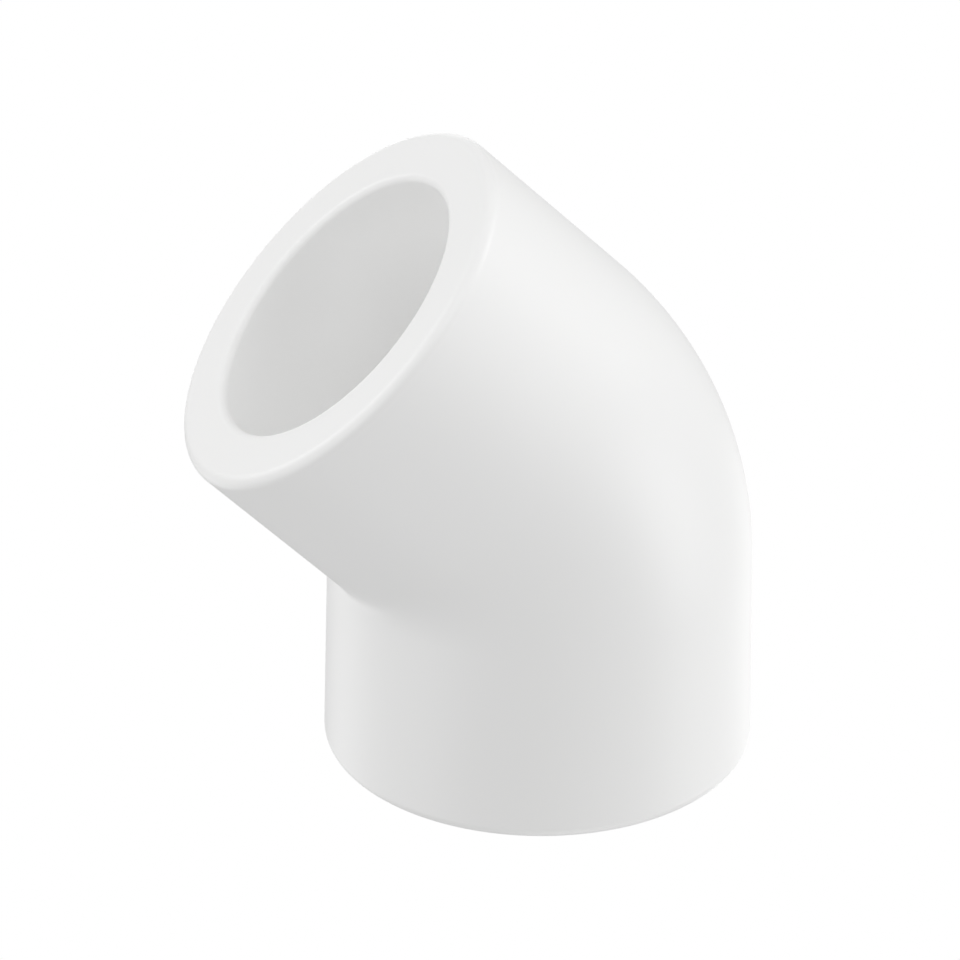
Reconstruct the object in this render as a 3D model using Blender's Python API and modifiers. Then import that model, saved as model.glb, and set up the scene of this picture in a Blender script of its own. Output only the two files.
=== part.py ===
"""Plain 45-degree PVC elbow for 25 mm pressure pipe, moulded in one piece.

The lower socket stands upright on its own mouth, with its axis along +Z.  The upper
socket leans towards -X by the bend angle.  The two axes meet at the elbow's centre,
in the plane Y = 0.  The origin is at the middle of the underside of the whole elbow.
All sizes are in metres.
"""

from math import cos, pi, radians, sin, tan

import bmesh
import bpy
from mathutils import Vector

MM = 0.001

# The pipe and how it fits.  Each clearance is on the diameter.
PIPE_DIAMETER = 25.0 * MM
MOUTH_CLEARANCE = 0.3 * MM       # the pipe slips in at the mouth
ROOT_CLEARANCE = 0.1 * MM        # and grips at the stop
SOCKET_DEPTH = 18.5 * MM
STOP_WIDTH = 2.0 * MM            # the ledge that the pipe's end lands on

# The bend
BEND_ANGLE = radians(45)
STOP_MARGIN = 0.9 * MM           # from where the two sockets would meet, out to each stop
STOP_LAND = 0.2 * MM             # straight waterway between a stop and the bend
CREASE_RADIUS = 0.4 * MM         # the crease inside the bend, where it is tightest

# The body
WALL = 5.1 * MM                  # around the pipe, where the outside starts to bend
DRAFT = radians(0.5)             # the outside widens towards each mouth
RIM_ROUND = 1.0 * MM             # the mouth's outer edge
LIP_ROUND = 0.6 * MM             # the mouth's inner edge

# How finely the round surfaces are divided
SEGMENTS = 64
HALF_BEND_STEPS = 6
ROUND_STEPS = 4
SMOOTH_BELOW = radians(30)
MERGE_DISTANCE = 0.001 * MM

# Worked out from the sizes above
half_bend = BEND_ANGLE / 2
bore_mouth = (PIPE_DIAMETER + MOUTH_CLEARANCE) / 2
bore_root = (PIPE_DIAMETER + ROOT_CLEARANCE) / 2
waterway_radius = bore_root - STOP_WIDTH
stop_to_centre = bore_root * tan(half_bend) + STOP_MARGIN
leg_length = SOCKET_DEPTH + stop_to_centre
inner_straight = SOCKET_DEPTH + STOP_LAND
inner_bend_radius = (leg_length - inner_straight) / tan(half_bend)
body_radius = PIPE_DIAMETER / 2 + WALL
outer_bend_radius = body_radius + CREASE_RADIUS
outer_straight = leg_length - outer_bend_radius * tan(half_bend)
mouth_radius = body_radius + outer_straight * tan(DRAFT)
rim_centre = mouth_radius - RIM_ROUND * (1 + tan(DRAFT))

# The elbow reaches from the upper rim at -X to the lower rim at +X
reach_left = (
    (leg_length - RIM_ROUND) * sin(BEND_ANGLE) + rim_centre * cos(BEND_ANGLE) + RIM_ROUND
)
reach_right = rim_centre + RIM_ROUND
lower_axis = Vector(((reach_left - reach_right) / 2, 0, 0))
elbow_centre = lower_axis + Vector((0, 0, leg_length))


def clear_scene():
    for item in list(bpy.data.objects):
        bpy.data.objects.remove(item, do_unlink=True)


def new_collection(name):
    collection = bpy.data.collections.new(name)
    bpy.context.scene.collection.children.link(collection)
    return collection


def white_pvc():
    material = bpy.data.materials.new("white_pvc")
    material.use_nodes = True
    shader = material.node_tree.nodes["Principled BSDF"]
    shader.inputs["Base Color"].default_value = (0.84, 0.84, 0.83, 1)
    shader.inputs["Roughness"].default_value = 0.38
    shader.inputs["Metallic"].default_value = 0.0
    return material


def arc(centre, radius, start, end):
    """Points (radius, height) along an arc of the outline, from one angle to another."""
    angles = [start + (end - start) * step / ROUND_STEPS for step in range(ROUND_STEPS + 1)]
    return [(centre[0] + radius * cos(a), centre[1] + radius * sin(a)) for a in angles]


def leg_outline():
    """The wall of one leg: down its outside, round the rim and the lip, up its inside."""
    rim = arc((rim_centre, RIM_ROUND), RIM_ROUND, 0, -pi / 2)
    lip = arc((bore_mouth + LIP_ROUND, LIP_ROUND), LIP_ROUND, -pi / 2, -pi)
    stop = [(bore_root, SOCKET_DEPTH), (waterway_radius, SOCKET_DEPTH)]
    outside = [(body_radius, outer_straight)]
    waterway = [(waterway_radius, inner_straight)]
    return outside + rim + lip + stop + waterway


def turned(outline):
    """The mesh made by turning an outline of (radius, height) points about +Z."""
    profile = bpy.data.meshes.new("profile")
    vertices = [(radius, 0, height) for radius, height in outline]
    edges = [(index, index + 1) for index in range(len(outline) - 1)]
    profile.from_pydata(vertices, edges, [])
    turning = bpy.data.objects.new("turning", profile)
    bpy.context.scene.collection.objects.link(turning)
    screw = turning.modifiers.new("Turn", "SCREW")
    screw.axis = "Z"
    screw.angle = 2 * pi
    screw.steps = SEGMENTS
    screw.render_steps = SEGMENTS
    screw.use_merge_vertices = True
    screw.merge_threshold = MERGE_DISTANCE
    graph = bpy.context.evaluated_depsgraph_get()
    mesh = bpy.data.meshes.new_from_object(turning.evaluated_get(graph))
    bpy.data.objects.remove(turning, do_unlink=True)
    return mesh


def sweep_ring(half, height, bend_radius):
    """Carry the open ring at a height round to the middle of the bend."""
    ring = [
        edge for edge in half.edges
        if edge.is_boundary
        and all(abs(vertex.co.z - height) < MERGE_DISTANCE for vertex in edge.verts)
    ]
    bmesh.ops.spin(
        half,
        geom=list({vertex for edge in ring for vertex in edge.verts}) + ring,
        cent=lower_axis + Vector((-bend_radius, 0, height)),
        axis=(0, -1, 0),
        angle=half_bend,
        steps=HALF_BEND_STEPS,
    )


def lower_half():
    """The lower leg and its half of the bend, as a shell that is open at the mitre."""
    mesh = turned(leg_outline())
    half = bmesh.new()
    half.from_mesh(mesh)
    bmesh.ops.translate(half, vec=lower_axis, verts=half.verts)
    sweep_ring(half, outer_straight, outer_bend_radius)
    sweep_ring(half, inner_straight, inner_bend_radius)
    half.to_mesh(mesh)
    half.free()
    return mesh


def mitre_plane():
    """An empty at the elbow's centre, whose own Z axis runs square to the mitre."""
    plane = bpy.data.objects.new("mitre_plane", None)
    plane.location = elbow_centre
    plane.rotation_euler = (0, -half_bend, 0)
    plane.empty_display_size = mouth_radius
    return plane


def add_mirror(piece, plane):
    """Mirror the lower half into the upper half, and join them at the mitre."""
    mirror = piece.modifiers.new("Mirror", "MIRROR")
    mirror.mirror_object = plane
    mirror.use_axis = (False, False, True)
    mirror.use_mirror_merge = True
    mirror.merge_threshold = MERGE_DISTANCE


clear_scene()
elbow_collection = new_collection("pvc_elbow")

elbow_body = bpy.data.objects.new("elbow_body", lower_half())
elbow_body.data.materials.append(white_pvc())
elbow_body.data.shade_smooth()
elbow_body.data.set_sharp_from_angle(angle=SMOOTH_BELOW)
elbow_collection.objects.link(elbow_body)

mitre = mitre_plane()
elbow_collection.objects.link(mitre)
add_mirror(elbow_body, mitre)
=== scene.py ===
"""Looks of the plain 45-degree PVC elbow: a finely rounded body in moulded white PVC.

The body is modelled as its lower half, from the lower mouth to the middle of the bend,
and mirrored into the whole.  Its place and overall sizes come from the frame, and its
smaller sizes are named here.  Everything is in metres, with +Z up.
"""

from math import cos, pi, radians, sin, tan

import bmesh
import bpy
from mathutils import Matrix, Vector


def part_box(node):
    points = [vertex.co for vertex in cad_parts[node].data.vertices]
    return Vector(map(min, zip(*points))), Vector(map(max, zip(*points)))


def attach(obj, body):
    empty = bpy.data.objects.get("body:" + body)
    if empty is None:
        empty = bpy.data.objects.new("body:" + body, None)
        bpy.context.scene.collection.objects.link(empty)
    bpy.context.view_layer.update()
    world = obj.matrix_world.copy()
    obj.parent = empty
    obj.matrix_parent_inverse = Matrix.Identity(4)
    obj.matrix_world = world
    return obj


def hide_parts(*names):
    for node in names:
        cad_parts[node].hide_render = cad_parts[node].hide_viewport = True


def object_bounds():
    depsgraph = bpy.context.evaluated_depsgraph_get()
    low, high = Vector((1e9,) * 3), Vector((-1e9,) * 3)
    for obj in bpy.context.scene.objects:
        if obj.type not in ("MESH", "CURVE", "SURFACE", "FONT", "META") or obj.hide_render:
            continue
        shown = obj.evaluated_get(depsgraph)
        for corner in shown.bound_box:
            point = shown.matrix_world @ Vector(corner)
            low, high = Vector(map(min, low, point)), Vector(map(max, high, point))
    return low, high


MM = 0.001

# The elbow
BEND_ANGLE = radians(45)
CREASE_RADIUS = 0.4 * MM         # the crease inside the bend, where it is tightest
DRAFT = radians(0.5)             # the outside widens towards each mouth
RIM_ROUND = 1.0 * MM             # the mouth's outer edge
LIP_ROUND = 0.6 * MM             # the mouth's inner edge
BORE_MOUTH_RADIUS = 12.65 * MM
BORE_ROOT_RADIUS = 12.55 * MM
SOCKET_DEPTH = 18.5 * MM
STOP_WIDTH = 2.0 * MM            # the ledge that the pipe's end lands on
STOP_LAND = 0.2 * MM             # straight waterway between the stop and the bend
STOP_ROUND = 0.15 * MM           # the ledge's edge and its corner

# How finely it is divided
SIDES = 256
HALF_BEND_STEPS = 24
ROUND_STEPS = 10
SMOOTH_BELOW = radians(30)
NEAR = 0.01 * MM                 # closer than this is the same place
MERGE_DISTANCE = 0.001 * MM

# The plastic's surface
FLOW_CLOUDS = 12 * MM            # the width of a cloud
MOULD_GRAIN = 0.4 * MM           # the width of a grain
MOULD_GRAIN_DEPTH = 0.0015 * MM
PVC_IOR = 1.53

# The camera stands well back and looks down at the elbow, a little from its left
CAMERA_AZIMUTH = radians(-9.95)
CAMERA_ELEVATION = radians(29.66)
CAMERA_ROLL = radians(0.71)
CAMERA_DISTANCE = 1302 * MM
CAMERA_LENS = 585.5              # mm
CAMERA_SENSOR = 36               # mm wide
CAMERA_SEES = (0.1, 10)          # the nearest and the furthest, in metres
AIM_RIGHT = -4.76 * MM           # from the lower mouth's centre, across the view
AIM_UP = 20.93 * MM              # and up it

# The studio's soft lights are round panels that stand around the elbow and face it.
# Azimuth 0 is straight in front, at -Y, and 90 is at +X.  Each has its azimuth, its
# elevation and the half angle that it fills, all in degrees, and its radiance.
LIGHT_DISTANCE = 1.0             # metres
SOFT_LIGHTS = {
    "overhead_front_softbox": (0, 65, 17, 2.5),
    "overhead_rear_softbox": (145, 65, 17, 1.0),
    "right_high_softbox": (90, 40, 17, 3.5),
    "right_front_softbox": (70, -10, 17, 2.5),
    "left_front_softbox": (-55, 20, 17, 2.0),
    "left_softbox": (-70, -10, 17, 1.5),
    "left_rear_softbox": (-125, 20, 17, 2.5),
    "rear_softbox": (180, -10, 17, 1.5),
    "light_table": (45, -65, 25, 1.25),
    "low_right_reflector": (90, -35, 17, 0.5),
    "low_rear_right_reflector": (135, -35, 17, 1.0),
    "low_rear_left_reflector": (-135, -35, 17, 1.0),
}
ROOM_LIGHT = 0.4
LIGHT_BOUNCES = 12               # enough to light the white bore to its bottom
BACKDROP_RADIUS = 2.2            # metres
BACKDROP_SIDES = 96


def direction(azimuth, elevation):
    """The unit vector towards an azimuth and an elevation."""
    return Vector((
        sin(azimuth) * cos(elevation),
        -cos(azimuth) * cos(elevation),
        sin(elevation),
    ))


# The body

def body_sizes():
    """The sizes that fit the frame's own elbow, by name."""
    _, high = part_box("elbow_body")
    rim_centre = high.y - RIM_ROUND
    leg_length = (
        high.z - RIM_ROUND + RIM_ROUND * cos(BEND_ANGLE) - rim_centre * sin(BEND_ANGLE)
    ) / (1 + cos(BEND_ANGLE))
    mouth_radius = rim_centre + RIM_ROUND * (1 + tan(DRAFT))

    # The outside narrows by the draft from the mouth to the start of the bend
    half_tan = tan(BEND_ANGLE / 2)
    body_radius = (
        mouth_radius - (leg_length - CREASE_RADIUS * half_tan) * tan(DRAFT)
    ) / (1 - tan(DRAFT) * half_tan)
    outer_bend = body_radius + CREASE_RADIUS
    inner_straight = SOCKET_DEPTH + STOP_LAND
    return {
        "axis": high.x - high.y,
        "leg_length": leg_length,
        "mouth_radius": mouth_radius,
        "body_radius": body_radius,
        "outer_bend": outer_bend,
        "outer_straight": leg_length - outer_bend * half_tan,
        "inner_bend": (leg_length - inner_straight) / half_tan,
        "inner_straight": inner_straight,
    }


def deselect_all():
    bpy.ops.object.select_all(action="DESELECT")


def extrude_ring(rise, scale, axis):
    """Extrude the selected ring along Z, and scale the new ring about the leg's axis."""
    bpy.ops.mesh.extrude_region_move(TRANSFORM_OT_translate={"value": (0, 0, rise)})
    bpy.ops.transform.resize(value=(scale, scale, 1), center_override=(axis, 0, 0))


def select_edges(piece, test):
    """Select the edges whose two ends both pass a test, and nothing else."""
    bpy.ops.mesh.select_all(action="DESELECT")
    mesh = bmesh.from_edit_mesh(piece.data)
    for edge in mesh.edges:
        if all(test(vertex.co) for vertex in edge.verts):
            edge.select_set(True)
    bmesh.update_edit_mesh(piece.data)


def select_ring(piece, axis, radius, height):
    """Select the ring of edges at a radius from the leg's axis and a height."""
    select_edges(piece, lambda point: (
        abs(point.z - height) < NEAR
        and abs((point - Vector((axis, 0, point.z))).length - radius) < NEAR
    ))


def bevel_ring(piece, axis, radius, height, width):
    """Round a ring of edges over."""
    select_ring(piece, axis, radius, height)
    bpy.ops.mesh.bevel(offset=width, segments=ROUND_STEPS, profile=0.5, affect="EDGES")


def spin_ring(piece, axis, radius, height, bend_radius):
    """Carry an open ring round to the middle of the bend."""
    select_ring(piece, axis, radius, height)
    bpy.ops.mesh.spin(
        steps=HALF_BEND_STEPS,
        angle=BEND_ANGLE / 2,
        center=(axis - bend_radius, 0, height),
        axis=(0, 1, 0),
    )


def model_half(sizes):
    """The lower leg and its half of the bend, open at the mitre."""
    axis = sizes["axis"]
    mouth, body = sizes["mouth_radius"], sizes["body_radius"]
    straight = sizes["outer_straight"]
    waterway = BORE_ROOT_RADIUS - STOP_WIDTH
    deselect_all()
    bpy.ops.mesh.primitive_circle_add(
        vertices=SIDES, radius=body, fill_type="NOTHING", location=(axis, 0, straight)
    )
    piece = bpy.context.object
    piece.name = piece.data.name = "elbow_shell"
    bpy.ops.object.transform_apply(location=True, rotation=False, scale=False)
    bpy.ops.object.mode_set(mode="EDIT")
    bpy.context.tool_settings.mesh_select_mode = (False, True, False)
    bpy.ops.mesh.select_all(action="SELECT")

    # Down the outside, in over the mouth, up the socket, over the stop, to the bend
    extrude_ring(-straight, mouth / body, axis)
    extrude_ring(0, BORE_MOUTH_RADIUS / mouth, axis)
    extrude_ring(SOCKET_DEPTH, BORE_ROOT_RADIUS / BORE_MOUTH_RADIUS, axis)
    extrude_ring(0, waterway / BORE_ROOT_RADIUS, axis)
    extrude_ring(STOP_LAND, 1, axis)

    # The edges' rounds
    bevel_ring(piece, axis, mouth, 0, RIM_ROUND)
    bevel_ring(piece, axis, BORE_MOUTH_RADIUS, 0, LIP_ROUND)
    bevel_ring(piece, axis, BORE_ROOT_RADIUS, SOCKET_DEPTH, STOP_ROUND)
    bevel_ring(piece, axis, waterway, SOCKET_DEPTH, STOP_ROUND)

    spin_ring(piece, axis, body, straight, sizes["outer_bend"])
    spin_ring(piece, axis, waterway, sizes["inner_straight"], sizes["inner_bend"])
    bpy.ops.object.mode_set(mode="OBJECT")
    return piece


def apply_modifier(piece, modifier):
    bpy.context.view_layer.objects.active = piece
    bpy.ops.object.modifier_apply(modifier=modifier.name)


def mirror_at_mitre(piece, sizes):
    """Join the half to its mirror image across the middle of the bend."""
    deselect_all()
    bpy.ops.object.empty_add(
        location=(sizes["axis"], 0, sizes["leg_length"]), rotation=(0, -BEND_ANGLE / 2, 0)
    )
    mitre = bpy.context.object
    mirror = piece.modifiers.new("Mirror", "MIRROR")
    mirror.mirror_object = mitre
    mirror.use_axis = (False, False, True)
    mirror.merge_threshold = MERGE_DISTANCE
    apply_modifier(piece, mirror)
    bpy.data.objects.remove(mitre)


def finish_surface(piece):
    """Point the faces outwards, and shade flat faces flat and rounds round."""
    bpy.context.view_layer.objects.active = piece
    piece.select_set(True)
    bpy.ops.object.mode_set(mode="EDIT")
    bpy.ops.mesh.select_all(action="SELECT")
    bpy.ops.mesh.remove_doubles(threshold=MERGE_DISTANCE)
    bpy.ops.mesh.normals_make_consistent(inside=False)
    bpy.ops.object.mode_set(mode="OBJECT")
    bpy.ops.object.shade_smooth_by_angle(angle=SMOOTH_BELOW)
    weighted = piece.modifiers.new("Weighted normals", "WEIGHTED_NORMAL")
    weighted.keep_sharp = True
    apply_modifier(piece, weighted)


# The materials

def hex_colour(code):
    """An sRGB hex colour as linear red, green, blue and alpha."""
    channels = [int(code[index:index + 2], 16) / 255 for index in (0, 2, 4)]
    linear = [
        value / 12.92 if value <= 0.04045 else ((value + 0.055) / 1.055) ** 2.4
        for value in channels
    ]
    return (*linear, 1)


def add_node(tree, kind, settings=None, inputs=None):
    """Add a node with its settings and its inputs; an input can be another node's output."""
    node = tree.nodes.new(kind)
    for name, value in (settings or {}).items():
        setattr(node, name, value)
    for name, value in (inputs or {}).items():
        if isinstance(value, bpy.types.NodeSocket):
            tree.links.new(value, node.inputs[name])
        else:
            node.inputs[name].default_value = value
    return node


def new_material(name):
    """A material with only its output node, and that node."""
    material = bpy.data.materials.new(name)
    material.use_nodes = True
    material.node_tree.nodes.clear()
    return material, add_node(material.node_tree, "ShaderNodeOutputMaterial")


def noise_scale(width):
    """The noise scale for patches of a width: a noise cell holds a light and a dark one."""
    return 1 / (width * 2)


def moulded_white_pvc():
    """Rigid PVC, white with titanium dioxide, injection moulded: even, satin and opaque."""
    material, output = new_material("moulded_white_pvc")
    tree = material.node_tree
    place = add_node(tree, "ShaderNodeTexCoord").outputs["Object"]

    # The melt's flow leaves soft clouds, centimetres wide, a shade warmer and glossier
    flow = add_node(
        tree, "ShaderNodeTexNoise",
        inputs={"Vector": place, "Scale": noise_scale(FLOW_CLOUDS), "Detail": 2.0},
    ).outputs["Fac"]
    colour = add_node(
        tree, "ShaderNodeMix", {"data_type": "RGBA"},
        {"Factor": flow, "A": hex_colour("F2F2F2"), "B": hex_colour("F1F1F0")},
    )
    gloss = add_node(tree, "ShaderNodeMapRange", inputs={
        "Value": flow, "To Min": 0.44, "To Max": 0.40,
    }).outputs["Result"]

    # The mould's polished steel leaves a grain too fine to see as bumps
    grain = add_node(
        tree, "ShaderNodeTexNoise",
        inputs={"Vector": place, "Scale": noise_scale(MOULD_GRAIN), "Detail": 3.0},
    ).outputs["Fac"]
    bump = add_node(tree, "ShaderNodeBump", inputs={
        "Height": grain, "Strength": 1.0, "Distance": MOULD_GRAIN_DEPTH,
    }).outputs["Normal"]
    shader = add_node(tree, "ShaderNodeBsdfPrincipled", inputs={
        "Base Color": colour.outputs["Result"],
        "Roughness": gloss,
        "IOR": PVC_IOR,
        "Normal": bump,
    })
    tree.links.new(shader.outputs["BSDF"], output.inputs["Surface"])
    return material


def lit_white():
    """A backdrop of white sheet, lit until it shows plain white."""
    material, output = new_material("lit_white_sheet")
    tree = material.node_tree
    glow = add_node(tree, "ShaderNodeEmission", inputs={"Color": (1, 1, 1, 1), "Strength": 1.0})
    tree.links.new(glow.outputs["Emission"], output.inputs["Surface"])
    return material


# The studio

def show_to_camera_only(thing):
    """Keep a backdrop from lighting, shading or being mirrored in the elbow."""
    thing.visible_diffuse = False
    thing.visible_glossy = False
    thing.visible_transmission = False
    thing.visible_volume_scatter = False
    thing.visible_shadow = False


def build_backdrop():
    """A white floor that runs into a white dome, both lit evenly."""
    white = lit_white()
    deselect_all()
    bpy.ops.mesh.primitive_circle_add(
        vertices=BACKDROP_SIDES, radius=BACKDROP_RADIUS, fill_type="NGON"
    )
    floor = bpy.context.object
    floor.name = "studio_floor"
    deselect_all()
    bpy.ops.mesh.primitive_uv_sphere_add(
        segments=BACKDROP_SIDES, ring_count=BACKDROP_SIDES // 2, radius=BACKDROP_RADIUS
    )
    dome = bpy.context.object
    dome.name = "studio_dome"
    for sheet in (floor, dome):
        sheet.data.materials.append(white)
        show_to_camera_only(sheet)


def add_soft_light(name, azimuth, elevation, half_angle, radiance, target):
    """A round panel that shines on the target; its angles are in degrees."""
    towards = direction(radians(azimuth), radians(elevation))
    radius = LIGHT_DISTANCE * tan(radians(half_angle))
    panel = bpy.data.lights.new(name, "AREA")
    panel.shape = "DISK"
    panel.size = 2 * radius
    area = pi * radius ** 2
    panel.energy = radiance * pi * area
    light = bpy.data.objects.new(name, panel)
    light.location = target + towards * LIGHT_DISTANCE
    light.rotation_mode = "QUATERNION"
    light.rotation_quaternion = (-towards).to_track_quat("-Z", "Y")
    light.visible_camera = False
    bpy.context.scene.collection.objects.link(light)


def build_lights(target):
    """The soft panels around the target, and the even light of a white room."""
    for name, (azimuth, elevation, half_angle, radiance) in SOFT_LIGHTS.items():
        add_soft_light(name, azimuth, elevation, half_angle, radiance, target)
    world = bpy.data.worlds.new("studio_room")
    world.use_nodes = True
    background = world.node_tree.nodes["Background"]
    background.inputs["Color"].default_value = (1, 1, 1, 1)
    background.inputs["Strength"].default_value = ROOM_LIGHT
    bpy.context.scene.world = world


def build_camera(target):
    """Look at a point beside the lower mouth, from far off, with a long lens."""
    back = direction(CAMERA_AZIMUTH, CAMERA_ELEVATION)
    level = Vector((cos(CAMERA_AZIMUTH), sin(CAMERA_AZIMUTH), 0))
    upright = back.cross(level)
    across = level * cos(CAMERA_ROLL) + upright * sin(CAMERA_ROLL)
    up = upright * cos(CAMERA_ROLL) - level * sin(CAMERA_ROLL)
    place = target + across * AIM_RIGHT + up * AIM_UP + back * CAMERA_DISTANCE
    data = bpy.data.cameras.new("camera")
    data.sensor_width = CAMERA_SENSOR
    data.lens = CAMERA_LENS
    data.clip_start, data.clip_end = CAMERA_SEES
    camera = bpy.data.objects.new("camera", data)
    turn = Matrix((across, up, back)).transposed()
    camera.matrix_world = Matrix.Translation(place) @ turn.to_4x4()
    bpy.context.scene.collection.objects.link(camera)
    bpy.context.scene.camera = camera


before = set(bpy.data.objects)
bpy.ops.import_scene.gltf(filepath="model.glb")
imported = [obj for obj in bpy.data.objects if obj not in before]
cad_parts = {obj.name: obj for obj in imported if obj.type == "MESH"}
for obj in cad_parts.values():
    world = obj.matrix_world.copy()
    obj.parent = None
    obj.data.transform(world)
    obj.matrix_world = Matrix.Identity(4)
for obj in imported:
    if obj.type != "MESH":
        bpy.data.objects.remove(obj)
cad_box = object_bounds()
sizes = body_sizes()

shell = model_half(sizes)
mirror_at_mitre(shell, sizes)
finish_surface(shell)
shell.data.materials.append(moulded_white_pvc())
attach(shell, "root")
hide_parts("elbow_body")

build_backdrop()
build_lights((cad_box[0] + cad_box[1]) / 2)
build_camera(Vector((sizes["axis"], 0, 0)))
bpy.context.scene.view_settings.view_transform = "Standard"
bpy.context.scene.cycles.diffuse_bounces = LIGHT_BOUNCES
